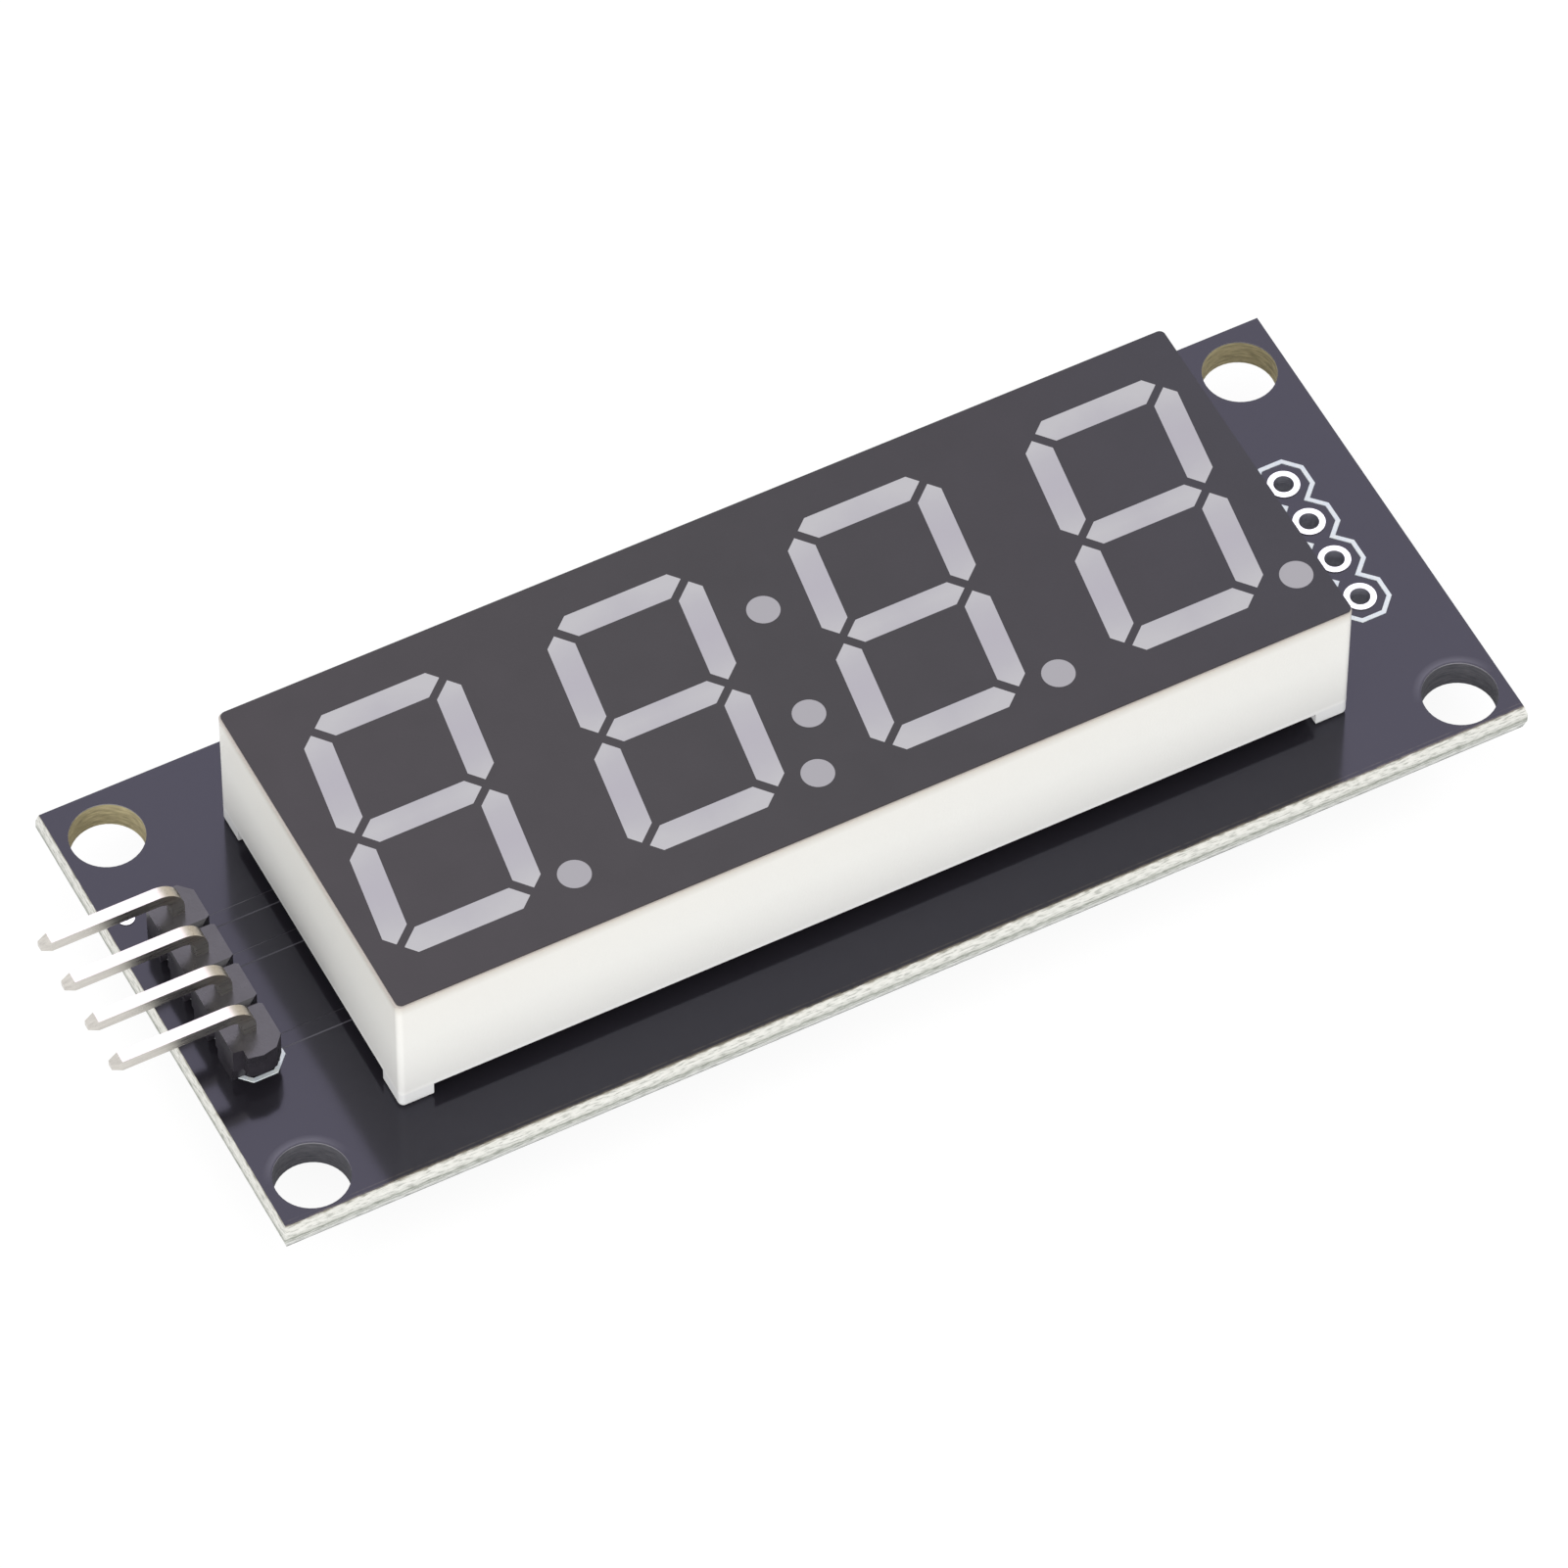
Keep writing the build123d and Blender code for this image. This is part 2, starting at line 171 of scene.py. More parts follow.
def turned(radii, heights, x, y, steps=32):
    """A surface of revolution about an upright axis: each (radius, height) pair makes a ring."""
    angle = np.linspace(0, 2 * np.pi, steps, endpoint=False)
    ring = np.stack([np.cos(angle), np.sin(angle)], 1)
    flat = np.asarray(radii, float)[:, None, None] * ring[None] + np.array([x, y])
    up = np.broadcast_to(np.asarray(heights, float)[:, None, None], flat.shape[:2] + (1,))
    return np.concatenate([flat, up], -1), False, True


# %% [markdown]
# ## Material helpers
# A material is a small graph of nodes: places and noise at one end, the shader's sockets at the
# other. One function adds any node. A second starts a material from what the real one is, a third
# joins a result to the shader, and a fourth puts the finished material on CAD parts. Colours are
# written as we see them on a screen, and one more function turns those into the linear light that
# the renderer works in. Places are in millimetres, so a noise scale is in lumps per millimetre.
# Three habits of Blender's own nodes are worth knowing. A Mix node for colours keeps its two
# colours in sockets 6 and 7 and its result in output 2. Map Range takes a value, its old range,
# then its new one. A Math node's "greater than" and "less than" give 1 or 0, to serve as a mask.


# %% Helpers for materials
def linear(colour):
    """An sRGB hex value such as 0xF2F1ED as linear red, green, blue and alpha."""
    seen = np.array([colour >> 16 & 255, colour >> 8 & 255, colour & 255]) / 255
    light = np.where(seen <= 0.04045, seen / 12.92, ((seen + 0.055) / 1.055) ** 2.4)
    return [*light.tolist(), 1.0]


def add(owner, kind, *inputs, sockets=None, stops=None, out=0, **settings):
    """Add one shader node to a material or world, and give back one of its outputs.

    Inputs go to its first sockets in order, and `sockets` to the ones it names; each is a value or
    another node's output. `stops` are a colour ramp's (place, hex colour) pairs, and the rest are
    the node's own settings.
    """
    tree = owner.node_tree
    node = tree.nodes.new("ShaderNode" + kind)
    for key, value in settings.items():
        setattr(node, key, value)
    for key, value in [*enumerate(inputs), *(sockets or {}).items()]:
        if isinstance(value, bpy.types.NodeSocket):
            tree.links.new(value, node.inputs[key])
        else:
            node.inputs[key].default_value = value
    if stops:
        marks = node.color_ramp.elements
        marks[0].position, marks[1].position = stops[0][0], stops[-1][0]
        for place, _ in stops[1:-1]:
            marks.new(place)
        for mark, (_, colour) in zip(marks, stops):
            mark.color = linear(colour)
    return node.outputs[out]


def link(output, shader, name):
    """Join a node's output to one of the shader's sockets."""
    output.id_data.links.new(output, shader.inputs[name])


def start_material(name, colour, roughness, metallic=0.0):
    """A material with its Principled shader set, and the place of each point in millimetres."""
    material = bpy.data.materials.new(name)
    material.use_nodes = True
    shader = material.node_tree.nodes["Principled BSDF"]
    shader.inputs["Base Color"].default_value = linear(colour)
    shader.inputs["Roughness"].default_value = roughness
    shader.inputs["Metallic"].default_value = metallic
    place = add(material, "Mapping", add(material, "TexCoord", out="Object"),
                sockets={"Scale": (1 / MM, 1 / MM, 1 / MM)})
    return material, shader, place


def give(material, names):
    """Put a material on CAD parts, in place of the plain colour they came with."""
    for name in names:
        slots = nodes[name].data.materials
        slots.clear()
        slots.append(material)
    print(material.name, "on", len(names), "parts")


# %% [markdown]
# ## Light, floor and background
# The module lies on a white table in a light tent. A softbox high behind it is what the shiny
# black board mirrors, and so it sets how grey the board looks. A small one overhead lifts every
# level face a little. A long one, low in front, lights the white wall. A bright even world stands
# for the tent. The background has to look plain white, so the world shows at strength 1 to the
# camera and to reflections, while it lights matt surfaces less. The floor glows to the camera too,
# so it stays white and keeps a soft shadow.

# %% World
WORLD_LEVEL = 0.66              # how strongly the tent lights matt surfaces
world = bpy.data.worlds.new("tent")
bpy.context.scene.world = world
world.use_nodes = True


def seen_directly(owner):
    """1 for rays that the eye follows, straight, in a mirror or through glass; 0 for light."""
    seen = add(owner, "LightPath", out="Is Camera Ray")
    rays = seen.node.outputs
    seen = add(owner, "Math", seen, rays["Is Glossy Ray"], operation="MAXIMUM")
    return add(owner, "Math", seen, rays["Is Transmission Ray"], operation="MAXIMUM")


level = add(world, "Math", seen_directly(world), 1 - WORLD_LEVEL, WORLD_LEVEL,
            operation="MULTIPLY_ADD")
sky = world.node_tree.nodes["Background"]
sky.inputs["Color"].default_value = (1, 1, 1, 1)
link(level, sky, "Strength")


# %% Softboxes
def softbox(name, azimuth, elevation, distance, width, height, radiance, colour):
    """A rectangle of light that faces the module; radiance 1 looks white in a mirror."""
    lamp = bpy.data.lights.new(name, "AREA")
    lamp.shape = "RECTANGLE"
    lamp.size, lamp.size_y = width, height
    lamp.energy = radiance * math.pi * width * height
    lamp.color = linear(colour)[:3]
    holder = bpy.data.objects.new(name, lamp)
    bpy.context.scene.collection.objects.link(holder)
    out = direction(azimuth, elevation)
    holder.location = out * distance
    holder.rotation_euler = out.to_track_quat("Z", "Y").to_euler()
    holder.visible_camera = False


# azimuth and elevation in degrees, then distance, width and height in metres
softbox("softbox_behind", 152, 54, 0.8, 0.36, 0.3, 1.52, 0xECE1FF)
softbox("softbox_above", 150, 84, 0.8, 0.2, 0.2, 1.6, 0xFFFFFF)
softbox("softbox_front", -38, 16, 0.6, 0.9, 0.36, 2.3, 0xFFFEFA)

# %% Floor
floor_z = cad_box[0][2]
FLOOR_HALF, FLOOR_GLOW = 2.0, 0.9       # half its width in metres, and its glow to the eye
floor_corners = [(sx * FLOOR_HALF, sy * FLOOR_HALF, floor_z)
                 for sx, sy in ((-1, -1), (1, -1), (1, 1), (-1, 1))]
floor_mesh = bpy.data.meshes.new("floor")
floor_mesh.from_pydata(floor_corners, [], [(0, 1, 2, 3)])
floor = bpy.data.objects.new("floor", floor_mesh)
bpy.context.scene.collection.objects.link(floor)
white_table = bpy.data.materials.new("white_table")
white_table.use_nodes = True
tree = white_table.node_tree
tree.nodes.remove(tree.nodes["Principled BSDF"])
lit = add(white_table, "BsdfDiffuse", linear(0xE7E7E7))
faint = add(white_table, "BsdfDiffuse", linear(0x6F6F6F))
glow = add(white_table, "Emission", sockets={"Strength": FLOOR_GLOW})
shown = add(white_table, "AddShader", faint, glow)
table = add(white_table, "MixShader", seen_directly(white_table), lit, shown)
link(table, tree.nodes["Material Output"], "Surface")
floor_mesh.materials.append(white_table)
print("floor at", round(floor_z / MM, 2), "mm, with", len(bpy.data.lights), "softboxes")

# %% [markdown]
# ## The circuit board
# Glass-epoxy laminate, with a black lacquer over the copper on both faces. The lacquer is smooth,
# so most of what we see in it is a soft reflection. The rims are bare where the panel was scored
# and snapped apart, so there we see white resin and the torn layers of glass cloth. One material
# covers all of this, because it is one CAD part. The surface's direction tells a face from a rim,
# and the distance from the outline tells the outer rim from a hole's wall.

# %% Circuit board: which surface is which
low, high = (np.array(corner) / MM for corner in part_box("circuit_board"))
board_top = high[2]
middle_x, middle_y = (low + high)[:2] / 2
HOLE_X, HOLE_Y, HOLE_RADIUS = 30.4, 10.95, 1.85     # the four mounting holes
HOLE_MARGIN = 0.1               # a wall within this of a mounting hole's radius is that hole's
LACQUER_ROUGHNESS, PLATED_ROUGHNESS, TORN_ROUGHNESS = 0.13, 0.38, 0.8
EDGE_INSET = 0.15               # from the snapped web in to the scored edge of the top face
RIM_DEPTH = 0.3                 # a side face nearer than this to the outline is the rim
# the second colour is paler lacquer, used for painted highlights
LACQUER, HIGHLIGHT_LACQUER, TAN_RESIN = 0x27252B, 0x66646C, 0x867C6C
print("board", [round(float(v), 2) for v in high - low])

lacquer, shader, place = start_material("black_lacquer_on_glass_epoxy", LACQUER, LACQUER_ROUGHNESS)
shader.inputs["Specular Tint"].default_value = linear(0xE2E4F4)
x, y, z = (add(lacquer, "SeparateXYZ", place, out=axis) for axis in "XYZ")
facing = add(lacquer, "SeparateXYZ", add(lacquer, "TexCoord", out="Normal"), out="Z")
upright = add(lacquer, "Math", facing, operation="ABSOLUTE")
is_side = add(lacquer, "Math", upright, 0.5, operation="LESS_THAN")         # over 60 degrees
is_slope = add(lacquer, "Math", upright, 0.97, operation="LESS_THAN")       # over 14 degrees


def inside_outline(value, middle, length):
    """How far a point is inside the outline along one axis, in mm."""
    out = add(lacquer, "Math", value, middle, operation="SUBTRACT")
    out = add(lacquer, "Math", out, operation="ABSOLUTE")
    return add(lacquer, "Math", length / 2, out, operation="SUBTRACT")


from_x = inside_outline(x, middle_x, high[0] - low[0])
from_y = inside_outline(y, middle_y, high[1] - low[1])
inside = add(lacquer, "Math", from_x, from_y, operation="MINIMUM")
is_rim = add(lacquer, "Math", inside, RIM_DEPTH, operation="LESS_THAN")

# all four mounting holes at once: fold the board onto one quarter, then measure from one centre
fold_x = add(lacquer, "Math", x, operation="ABSOLUTE")
fold_y = add(lacquer, "Math", y, operation="ABSOLUTE")
from_hole = add(lacquer, "VectorMath", add(lacquer, "CombineXYZ", fold_x, fold_y),
                (HOLE_X, HOLE_Y, 0), operation="DISTANCE", out="Value")
is_mounting = add(lacquer, "Math", from_hole, HOLE_RADIUS + HOLE_MARGIN, operation="LESS_THAN")
is_behind = add(lacquer, "Math", y, 0.0, operation="GREATER_THAN")

# %% Circuit board: the torn rim
# Height sets the layer. Noise stretched along the rim shifts it, so that the layers look torn.
TORN_SHIFT = 0.22               # the noise's whole reach, as a share of the board's thickness
run = add(lacquer, "Math", x, y, operation="ADD")
torn_place = add(lacquer, "CombineXYZ", run, 0.0, z)
long_tears = add(lacquer, "Mapping", torn_place, sockets={"Scale": (1.2, 1, 3)})
torn = add(lacquer, "TexNoise", long_tears, sockets={"Scale": 1.5, "Detail": 4})
long_streaks = add(lacquer, "Mapping", torn_place, sockets={"Scale": (1.4, 1, 7)})
streaks = add(lacquer, "TexNoise", long_streaks, sockets={"Scale": 1.4, "Detail": 3})
depth = add(lacquer, "Math", z, 1 / board_top, operation="MULTIPLY")
depth = add(lacquer, "Math", torn, TORN_SHIFT, depth, operation="MULTIPLY_ADD")
depth = add(lacquer, "Math", depth, TORN_SHIFT / 2, operation="SUBTRACT")
# The ramp is grey at the very bottom and the very top, and in two bands below the middle.
layers = add(lacquer, "ValToRGB", depth, stops=[
    (0.0, 0xA6A8A8), (0.05, 0xB4B6B6), (0.09, 0xD9DBDA), (0.25, 0xE9EAE8), (0.32, 0xB2B6B0),
    (0.38, 0xD6D8D4), (0.44, 0x9DA29A), (0.52, 0xE0E1DC), (0.68, 0xF1F1ED), (0.93, 0xEFEEE9),
    (0.99, 0xA09C90)])
pale = add(lacquer, "ValToRGB", streaks, stops=[
    (0.36, 0xC9CBC9), (0.48, 0xF4F5F4), (0.6, 0xFFFFFF)])
rim = add(lacquer, "Mix", 1.0, sockets={6: layers, 7: pale}, out=2, data_type="RGBA",
          blend_type="MULTIPLY")
resin = add(lacquer, "TexNoise", place, sockets={"Scale": 1 / 9, "Detail": 2})
resin = add(lacquer, "Math", resin, 0.08, operation="MULTIPLY")
rim = add(lacquer, "Mix", resin, sockets={6: rim, 7: linear(0xE4DCB8)}, out=2, data_type="RGBA")

# %% Circuit board: the holes' walls
# A mounting hole's wall is bare resin with rings left by the drill. It is painted golden, as lit,
# in the two holes behind, and darker grey, as painted shade, in the two in front; the paler line
# along the lip is a painted highlight. The small holes are plated.
LIP_DEPTH = 0.07
rings = add(lacquer, "TexNoise", add(lacquer, "Mapping", place, sockets={"Scale": (1, 1, 6)}),
            sockets={"Scale": 1.6, "Detail": 3})
# the golden wall is the lit copy, and the grey one below it is the same wall in painted shade
lit_golden_wall = add(lacquer, "ValToRGB", rings, stops=[(0.3, 0x988F70), (0.5, 0xB9AE88), (0.7, 0xD2C79E)])
shaded_grey_wall = add(lacquer, "ValToRGB", rings, stops=[(0.3, 0x434348), (0.7, 0x5F5E63)])
wall = add(lacquer, "Mix", is_behind, sockets={6: shaded_grey_wall, 7: lit_golden_wall}, out=2, data_type="RGBA")
# the paler lip is a painted highlight
lip = add(lacquer, "Math", z, board_top - LIP_DEPTH, operation="GREATER_THAN")
wall = add(lacquer, "Mix", lip, sockets={6: wall, 7: linear(0x96949A)}, out=2, data_type="RGBA")
wall = add(lacquer, "Mix", is_mounting, sockets={6: linear(0x8E8E9A), 7: wall}, out=2,
           data_type="RGBA")
side = add(lacquer, "Mix", is_rim, sockets={6: wall, 7: rim}, out=2, data_type="RGBA")

# %% Circuit board: the lacquered faces
# Along the front edge the scoring blade bared a line of tan resin, and nicked a fainter one beside
# it. A paler arc on the far side of each of the two front mounting holes, and the paler slopes of
# the covered tracks, are painted highlights. A ramp turns a distance into each soft line.
from_front = add(lacquer, "Math", y, low[1] + EDGE_INSET, operation="SUBTRACT")
tan_line = add(lacquer, "ValToRGB", from_front, stops=[
    (0.0, 0xFFFFFF), (0.05, 0xE0E0E0), (0.1, 0x000000), (0.2, 0x000000), (0.25, 0x8A8A8A),
    (0.3, 0x000000)])
chipping = add(lacquer, "TexNoise", place, sockets={"Scale": 2.2, "Detail": 2})
chipped = add(lacquer, "MapRange", chipping, 0.35, 0.55, 0.15, 0.8)
chipped = add(lacquer, "Math", chipped, tan_line, operation="MULTIPLY")
face = add(lacquer, "Mix", chipped, sockets={6: linear(LACQUER), 7: linear(TAN_RESIN)}, out=2,
           data_type="RGBA")
from_edge = add(lacquer, "Math", from_hole, HOLE_RADIUS, operation="SUBTRACT")
ring = add(lacquer, "ValToRGB", from_edge, stops=[
    (0.0, 0x000000), (0.12, 0xFFFFFF), (0.24, 0xD0D0D0), (0.45, 0x000000)])
behind_hole = add(lacquer, "Math", y, -HOLE_Y, operation="SUBTRACT")
behind_hole = add(lacquer, "MapRange", behind_hole, 0.4, 1.8, 0.0, 0.7)
in_front = add(lacquer, "Math", y, 0.0, operation="LESS_THAN")
ring = add(lacquer, "Math", ring, behind_hole, operation="MULTIPLY")
ring = add(lacquer, "Math", ring, in_front, operation="MULTIPLY")
slopes = add(lacquer, "Math", is_slope, 0.6, operation="MULTIPLY")
# paler lacquer on the arcs and the track slopes is a painted highlight
painted_highlights = add(lacquer, "Math", ring, slopes, operation="MAXIMUM")
face = add(lacquer, "Mix", painted_highlights, sockets={6: face, 7: linear(HIGHLIGHT_LACQUER)}, out=2,
           data_type="RGBA")
link(add(lacquer, "Mix", is_side, sockets={6: face, 7: side}, out=2, data_type="RGBA"), shader,
     "Base Color")

# the rims and the mounting holes are torn and matt, and the plated holes satin
is_torn = add(lacquer, "Math", is_rim, is_mounting, operation="MAXIMUM")
rougher = add(lacquer, "Math", is_torn, TORN_ROUGHNESS - PLATED_ROUGHNESS,
              PLATED_ROUGHNESS - LACQUER_ROUGHNESS, operation="MULTIPLY_ADD")
link(add(lacquer, "Math", is_side, rougher, LACQUER_ROUGHNESS, operation="MULTIPLY_ADD"), shader,
     "Roughness")
orange_peel = add(lacquer, "TexNoise", place, sockets={"Scale": 0.6, "Detail": 2})
orange_peel = add(lacquer, "Math", orange_peel, 0.04, operation="MULTIPLY")
relief = add(lacquer, "Math", is_side, streaks, orange_peel, operation="MULTIPLY_ADD")
link(add(lacquer, "Bump", sockets={"Height": relief, "Distance": 0.06 * MM}), shader, "Normal")
give(lacquer, ["circuit_board"])

# %% [markdown]
# ## Tinned holes, printed outlines and covered tracks
# The open holes have a ring of copper dipped in solder, which leaves a bright skin with a soft
# ripple. Round each row of holes the maker printed an outline of small octagons in white ink. It is
# a raised line of ink a few hundredths thick, so we carry a flat profile along its path. Tracks
# under the lacquer show only by their bevelled edges, which catch the light: the same path tool
# makes them, in the board's own lacquer.


# %% Bright tin
def tin(name, colour, dull_colour, roughness, ripple):
    """Hot-dipped tin: a soft-edged mirror whose gloss and height vary over a few tenths of a mm."""
    material, shader, place = start_material(name, colour, roughness, 1.0)
    blotches = add(material, "TexNoise", place, sockets={"Scale": 2.0, "Detail": 3})
    link(add(material, "ValToRGB", blotches, stops=[(0.3, colour), (0.75, dull_colour)]), shader,
         "Base Color")
    link(add(material, "Math", blotches, 0.2, roughness - 0.1, operation="MULTIPLY_ADD"), shader,
         "Roughness")
    height = add(material, "TexNoise", place, sockets={"Scale": 3.3, "Detail": 3})
    link(add(material, "Bump", sockets={"Height": height, "Distance": ripple * MM}), shader,
         "Normal")
    return material


give(tin("hot_dipped_tin", 0xFAFAF9, 0xECECEE, 0.34, 0.012),
     [name for name in nodes if name.startswith("end_plated_hole")] + ["via"])

# %% White printed ink
# Ink is pressed through a mesh, so its cover is a little uneven. It dries with some gloss, which
# catches the softbox and lifts the line off the black.
ink, shader, place = start_material("white_screen_ink", 0xF2FAFF, 0.24)
shader.inputs["Specular IOR Level"].default_value = 0.8
patchy = add(ink, "TexNoise", place, sockets={"Scale": 4.5, "Detail": 3})
link(add(ink, "ValToRGB", patchy, stops=[(0.3, 0xEAF4FF), (0.6, 0xF6FDFF)]), shader, "Base Color")
link(add(ink, "Bump", sockets={"Height": patchy, "Distance": 0.01 * MM}), shader, "Normal")

SUNK = 0.01                     # how far a raised line's sides reach into the board


def raised_line(width, height, bevel):
    """A line's section: up a bevel, across its flat top and down again, from within the board."""
    half, foot, top = width / 2, board_top - SUNK, board_top + height
    return [(-half, foot), (-half + bevel, top), (half - bevel, top), (half, foot)]


def octagon_row(x, y, count=4, pitch=2.54, half=1.29, flat=0.54, notch=0.58):
    """The outline of `count` octagons in a row: up one side, with a notch between two, and back."""
    cells = y + pitch * (np.arange(count) - (count - 1) / 2)
    side = [(notch, cells[0] - half)]
    for number, middle in enumerate(cells):
        side += [(half, middle - flat), (half, middle + flat)]
        side += [(notch, middle + (pitch / 2 if number < count - 1 else half))]
    side = np.array(side)
    other = side[::-1] * (-1, 1)
    return np.vstack([side, other]) + (x, 0)


END_ROW_X, HEADER_X, ROW_Y = 28.97, -30.1, 0.1
PRINT_ASIDE, PRINT_BEHIND = 0.24, 0.1   # the header stands a little off its outline
ink_line = raised_line(width=0.25, height=0.03, bevel=0.02)
rows = [octagon_row(END_ROW_X, ROW_Y), octagon_row(HEADER_X + PRINT_ASIDE, ROW_Y + PRINT_BEHIND)]
build("outline_print", [along_path(row, ink_line, True) for row in rows], ink)

# %% Tracks under the lacquer
# Each runs straight from the header to under the display.
TRACK_STOPS, TRACK_YS = (HEADER_X, -28.0, -19.0), (4.16, 1.61, -3.49)
track_section = raised_line(width=0.86, height=0.035, bevel=0.07)
tracks = [along_path([(x, y) for x in TRACK_STOPS], track_section, False) for y in TRACK_YS]
build("covered_tracks", tracks, lacquer)

# %% [markdown]
# ## The display's shell, face and windows
# The shell is a white moulding with a fine satin grain. Its front is a dark printed layer, slightly
# satin, with openings for the segments and dots. Behind those openings the wells are full of milky
# epoxy. It is flush with the print, and is painted a little brighter towards the ends of each
# segment: painted light, standing in for light scattered back by the white wells near the surface.
# A node graph can find the ends: we undo the digits' slant, fold the four digits onto one, and
# multiply two distances that both grow there.

# %% Shell
# White ABS, moulded against a fine-etched tool: a soft satin skin with very little colour of its
# own. A burr along the walls' lower edge is painted as a bright line, a painted highlight, and the
# duller, warmer band near the upper edge is painted shade. A ramp over the height gives both.
moulding, shader, place = start_material("white_moulded_abs", 0xF7F6F3, 0.42)
z = add(moulding, "SeparateXYZ", place, out="Z")
shell_low, shell_high = (corner[2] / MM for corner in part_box("display_shell"))
up = add(moulding, "Math", z, shell_low, operation="SUBTRACT")
up = add(moulding, "Math", up, 1 / (shell_high - shell_low), operation="MULTIPLY")
# painted light and shade: a bright line low down, and a darker, warmer band at the top
painted_highlight_and_shade = add(moulding, "ValToRGB", up, stops=[
    (0.0, 0xF4F5F7), (0.115, 0xF4F5F7), (0.135, 0xFFFFFF), (0.16, 0xF4F4F3), (0.3, 0xF5F5F3),
    (0.6, 0xF6F6F3), (0.92, 0xF1F0EC), (0.965, 0xE3E0DA), (1.0, 0xD2C9C0)])
cloudy = add(moulding, "TexNoise", place, sockets={"Scale": 1 / 3, "Detail": 3})
cloudy = add(moulding, "Math", cloudy, 0.2, operation="MULTIPLY")
link(add(moulding, "Mix", cloudy, sockets={6: painted_highlight_and_shade, 7: linear(0xEDEDE9)}, out=2, data_type="RGBA"),
     shader, "Base Color")
grain = add(moulding, "TexNoise", place, sockets={"Scale": 8.0, "Detail": 2})
link(add(moulding, "Bump", sockets={"Height": grain, "Distance": 0.012 * MM}), shader, "Normal")
give(moulding, ["display_shell"])

# %% Printed face
# Screen ink again, but dark: even, satin, and a little warmer and lighter towards its -X end.
face_print, shader, place = start_material("dark_screen_ink", 0x363338, 0.5)
x = add(face_print, "SeparateXYZ", place, out="X")
FACE_SPAN = 52.0                # the ramp runs over a little more than the face's length
across = add(face_print, "Math", x, 1 / FACE_SPAN, 0.5, operation="MULTIPLY_ADD")
tint_along_x = add(face_print, "ValToRGB", across, stops=[
    (0.02, 0x3C373C), (0.3, 0x393539), (0.5, 0x343135), (0.8, 0x332F36), (1.0, 0x32303A)])
mottle = add(face_print, "TexNoise", place, sockets={"Scale": 0.45, "Detail": 3})
mottle = add(face_print, "ValToRGB", mottle, stops=[(0.3, 0xF2F2F2), (0.7, 0xFFFFFF)])
link(add(face_print, "Mix", 1.0, sockets={6: tint_along_x, 7: mottle}, out=2, data_type="RGBA",
         blend_type="MULTIPLY"), shader, "Base Color")
mesh_marks = add(face_print, "TexNoise", place, sockets={"Scale": 7.0, "Detail": 2})
link(add(face_print, "Bump", sockets={"Height": mesh_marks, "Distance": 0.008 * MM}), shader,
     "Normal")
give(face_print, ["display_face_ink"])

# %% Milky epoxy in the windows
# Cast resin with a little white powder in it, which scatters light and hides the parts behind.
DIGIT_PITCH, SLANT, SHIFT_Y = 12.7, math.tan(math.radians(8)), 0.1
STROKE_X, STROKE_Y = 3.41, 3.225        # from a digit's middle to an upright stroke's middle
DOTS_BEYOND = 1.35                      # times STROKE_X: only the dots lie further out than this
epoxy, shader, place = start_material("milky_cast_epoxy", 0xC4C2C7, 0.32)
x, y = (add(epoxy, "SeparateXYZ", place, out=axis) for axis in "XY")
v = add(epoxy, "Math", y, SHIFT_Y, operation="SUBTRACT")
unslanted = add(epoxy, "Math", v, -SLANT, x, operation="MULTIPLY_ADD")
counted = add(epoxy, "Math", unslanted, 2.5 * DIGIT_PITCH, operation="ADD")     # whole pitches
from_middle = add(epoxy, "Math", counted, DIGIT_PITCH / 2, operation="PINGPONG")
across = add(epoxy, "Math", from_middle, 1 / STROKE_X, operation="MULTIPLY")
high_up = add(epoxy, "Math", v, operation="ABSOLUTE")
along = add(epoxy, "Math", high_up, STROKE_Y, operation="SUBTRACT")
along = add(epoxy, "Math", add(epoxy, "Math", along, operation="ABSOLUTE"), 1 / STROKE_Y,
            operation="MULTIPLY")
share = add(epoxy, "Math", across, 0.4, 0.6, operation="MULTIPLY_ADD")
ends = add(epoxy, "Math", share, along, operation="MULTIPLY")
haze = add(epoxy, "TexNoise", place, sockets={"Scale": 1.1, "Detail": 2})
ends = add(epoxy, "Math", haze, 0.22, ends, operation="MULTIPLY_ADD")
# the brighter segment ends are painted light
milk_and_painted_glow = add(epoxy, "ValToRGB", ends, stops=[(0.2, 0xBBB8C0), (0.6, 0xBEBCC2), (1.0, 0xC7C6C9)])
is_dot = add(epoxy, "Math", across, DOTS_BEYOND, operation="GREATER_THAN")
link(add(epoxy, "Mix", is_dot, sockets={6: milk_and_painted_glow, 7: linear(0xAFADB2)}, out=2, data_type="RGBA"),
     shader, "Base Color")
give(epoxy, ["display_epoxy"])

# %% Chip board and LEDs, which the epoxy hides
laminate, shader, place = start_material("bare_glass_epoxy", 0xB9B489, 0.6)
weave = add(laminate, "TexNoise", add(laminate, "Mapping", place, sockets={"Scale": (1, 3, 1)}),
            sockets={"Scale": 2.5, "Detail": 3})
link(add(laminate, "ValToRGB", weave, stops=[(0.3, 0xA9A478), (0.7, 0xC6C196)]), shader,
     "Base Color")
give(laminate, ["display_chip_board"])
crystal, shader, place = start_material("sawn_led_crystal", 0xD8CF9A, 0.25)
sawn = add(crystal, "TexNoise", place, sockets={"Scale": 10.0})
link(add(crystal, "ValToRGB", sawn, stops=[(0.3, 0xB5A86A), (0.7, 0xE2DAB0)]), shader,
     "Base Color")
give(crystal, ["display_led_chips"])

# %% [markdown]
# ## The pin header
# A breakable strip of black plastic carries four square pins of tinned brass. The plastic has a
# satin skin straight from the mould. The pins are drawn wire, so their gloss is streaked along
# their length, and the tin has thinned at the bends, where a little of the brass's warmth shows.

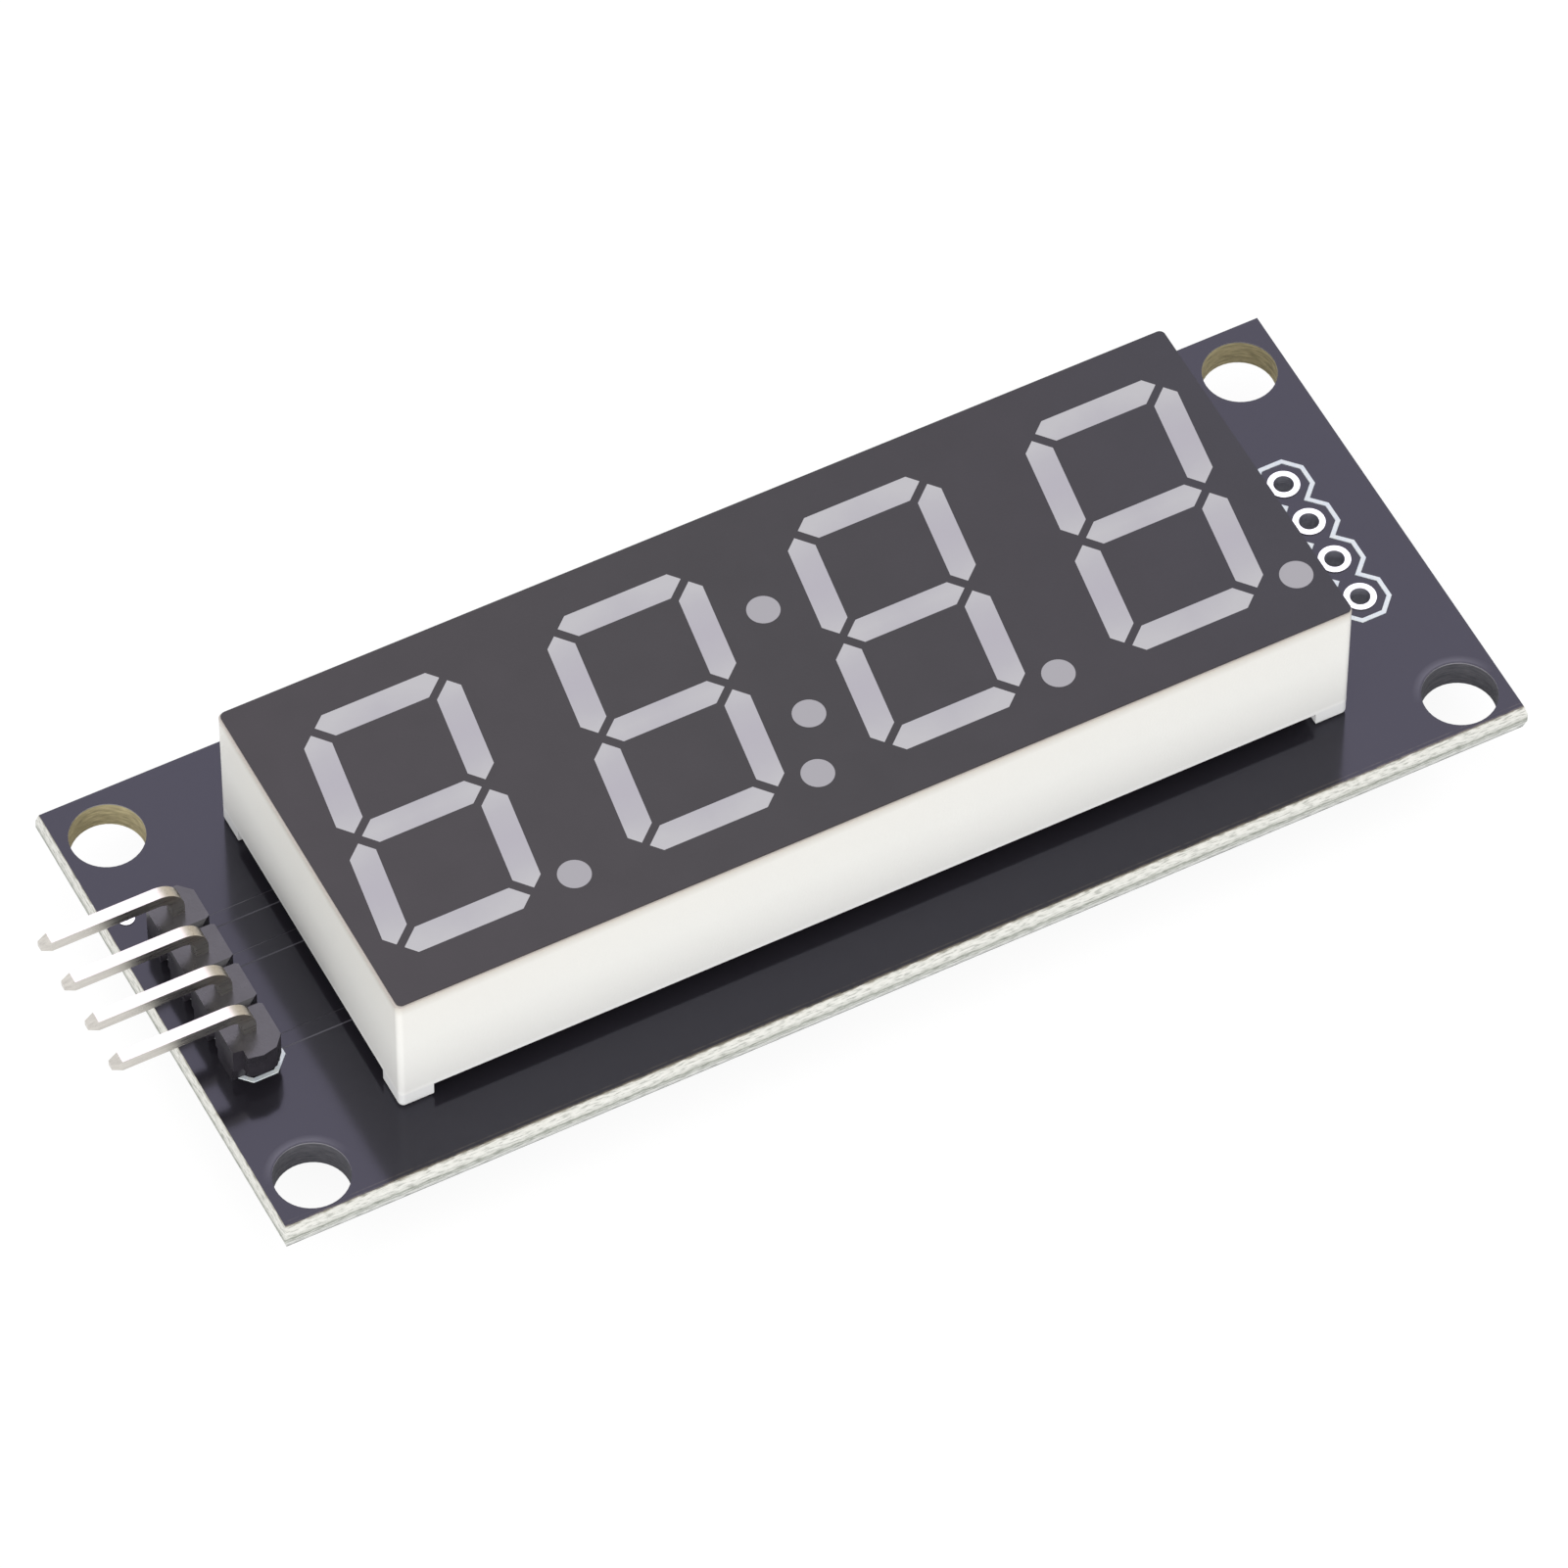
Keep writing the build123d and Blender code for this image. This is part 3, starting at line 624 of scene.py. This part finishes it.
# %% Header plastic
# Glass-filled nylon: satin, with faint flow marks and a skin that mirrors softly at a low angle.
nylon, shader, place = start_material("black_moulded_nylon", 0x2D2B31, 0.3)
shader.inputs["Specular IOR Level"].default_value = 0.88
flow = add(nylon, "TexNoise", place, sockets={"Scale": 1.2, "Detail": 3})
link(add(nylon, "ValToRGB", flow, stops=[(0.3, 0x28262B), (0.7, 0x322F36)]), shader, "Base Color")
link(add(nylon, "Math", flow, 0.2, 0.2, operation="MULTIPLY_ADD"), shader, "Roughness")
grain = add(nylon, "TexNoise", place, sockets={"Scale": 6.5, "Detail": 2})
link(add(nylon, "Bump", sockets={"Height": grain, "Distance": 0.01 * MM}), shader, "Normal")
give(nylon, ["header_base"])

# %% Header pins
# Tin plated on half-hard brass, drawn and then bent: a bright satin with fine lengthwise streaks.
BEND_LOW, BEND_HIGH = 4.9, 5.7          # heights between which the thinned tin shows warm
header_pins = [f"header_pin_{number}" for number in range(1, 5)]
pin_tin, shader, place = start_material("tinned_drawn_brass", 0xD2CEC8, 0.3, 1.0)
x, z = (add(pin_tin, "SeparateXYZ", place, out=axis) for axis in "XZ")
lengthwise = add(pin_tin, "Mapping", place, sockets={"Scale": (0.08, 1, 1)})
streaks = add(pin_tin, "TexNoise", lengthwise, sockets={"Scale": 8.3, "Detail": 2})
near_bend = add(pin_tin, "MapRange", x, HEADER_X - 1.1, HEADER_X - 0.3, 0.0, 1.0)
above = add(pin_tin, "MapRange", z, BEND_LOW, BEND_HIGH, 0.0, 0.45)
warm = add(pin_tin, "Math", near_bend, above, operation="MULTIPLY")
silver = add(pin_tin, "ValToRGB", streaks, stops=[(0.3, 0xC9C5BF), (0.7, 0xDAD6CF)])
link(add(pin_tin, "Mix", warm, sockets={6: silver, 7: linear(0xCDB99A)}, out=2, data_type="RGBA"),
     shader, "Base Color")
link(add(pin_tin, "Math", streaks, 0.2, 0.2, operation="MULTIPLY_ADD"), shader, "Roughness")
link(add(pin_tin, "Bump", sockets={"Height": streaks, "Distance": 0.006 * MM}), shader, "Normal")
give(pin_tin, header_pins)

# %% [markdown]
# ## The underside
# Under the board stand the cut ends of the display's pins and the header's pins, each in a cone of
# solder. Molten solder climbs a pin in a hollow curve, so a straight cone looks wrong. We turn a
# hollow profile round each pin instead, and let it stand for the CAD cones. Between the pins sit a
# driver chip and a few ceramic parts.

# %% Solder
# The radius shrinks as a power of what is left of the height: a power of 1 would give a cone.
SOLDER_BASE, SOLDER_TOP, SOLDER_HEIGHT, SOLDER_SKIRT, HOLLOW = 0.9, 0.36, 0.9, 0.02, 2.2
rise = np.linspace(0, 1, 12)
hollow_radii = SOLDER_TOP + (SOLDER_BASE - SOLDER_TOP) * (1 - rise) ** HOLLOW
hollow_heights = -SOLDER_SKIRT - (SOLDER_HEIGHT - SOLDER_SKIRT) * rise
radii = np.concatenate([[0.0, SOLDER_BASE], hollow_radii, [0.0]])
heights = np.concatenate([[0.0, 0.0], hollow_heights, [-SOLDER_HEIGHT]])
display_pins = [f"display_pin_{number:02d}" for number in range(1, 15)]
solder = tin("bright_solder", 0xDEDEDC, 0xCECECA, 0.26, 0.02)


def middle_of(name):
    """The middle of a CAD part's box, in mm."""
    return sum(np.array(corner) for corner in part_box(name)) / 2 / MM


def pin_place(name):
    """Where a pin goes down through the board: a bent header pin does so under its base."""
    x, y, _ = middle_of(name)
    return (HEADER_X if name in header_pins else x), y


for label, names in (("display", display_pins), ("header", header_pins)):
    cones = [turned(radii, heights, *pin_place(name)) for name in names]
    joints = build(f"{label}_solder", cones, solder)
    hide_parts(f"{label}_pin_solder")

# %% Display pins and chip
give(tin("tinned_steel_wire", 0xDAD7D2, 0xCAC7C0, 0.3, 0.01), display_pins)
give(tin("satin_tinned_copper", 0xC9C9C8, 0xB9B9B6, 0.38, 0.008), ["driver_chip_leads"])

# The chip's body is epoxy full of silica, moulded hot: matt black with a fine sparkle.
moulded_epoxy, shader, place = start_material("matt_moulded_epoxy", 0x2B2B2D, 0.62)
sparkle = add(moulded_epoxy, "TexNoise", place, sockets={"Scale": 5.0, "Detail": 3})
link(add(moulded_epoxy, "ValToRGB", sparkle, stops=[(0.3, 0x262628), (0.7, 0x333335)]), shader,
     "Base Color")
link(add(moulded_epoxy, "Bump", sockets={"Height": sparkle, "Distance": 0.015 * MM}), shader,
     "Normal")
give(moulded_epoxy, ["driver_chip_body"])


# %% Capacitors and resistors
TINNED_FROM = 0.5               # from a part's middle to where its tinned ends begin


def chip_part(name, body_low, body_high, middle):
    """A ceramic body between two tinned ends, told apart by the distance from its middle."""
    material, shader, place = start_material(name, body_low, 0.5)
    x = add(material, "SeparateXYZ", place, out="X")
    from_column = add(material, "Math", add(material, "Math", x, operation="ABSOLUTE"), middle,
                      operation="SUBTRACT")
    from_column = add(material, "Math", from_column, operation="ABSOLUTE")
    is_end = add(material, "Math", from_column, TINNED_FROM, operation="GREATER_THAN")
    speckle = add(material, "TexNoise", place, sockets={"Scale": 6.5, "Detail": 3})
    body = add(material, "ValToRGB", speckle, stops=[(0.3, body_low), (0.7, body_high)])
    link(add(material, "Mix", is_end, sockets={6: body, 7: linear(0xD2D2D0)}, out=2,
             data_type="RGBA"), shader, "Base Color")
    link(is_end, shader, "Metallic")
    link(add(material, "Math", is_end, -0.2, 0.5, operation="MULTIPLY_ADD"), shader, "Roughness")
    link(add(material, "Bump", sockets={"Height": speckle, "Distance": 0.01 * MM}), shader,
         "Normal")
    return material


column = abs(middle_of("capacitor_1")[0])
give(chip_part("sintered_ceramic", 0x9C7A55, 0xB08D66, column),
     [name for name in nodes if name.startswith("capacitor")])
give(chip_part("glazed_film_on_ceramic", 0x1E1E21, 0x2A2A2E, column),
     [name for name in nodes if name.startswith("resistor")])

# %% [markdown]
# The finished model has to fill the same box as the CAD model. Last, we set the plain colour
# transform.

# %% Finish
bpy.context.scene.view_settings.view_transform = "Standard"
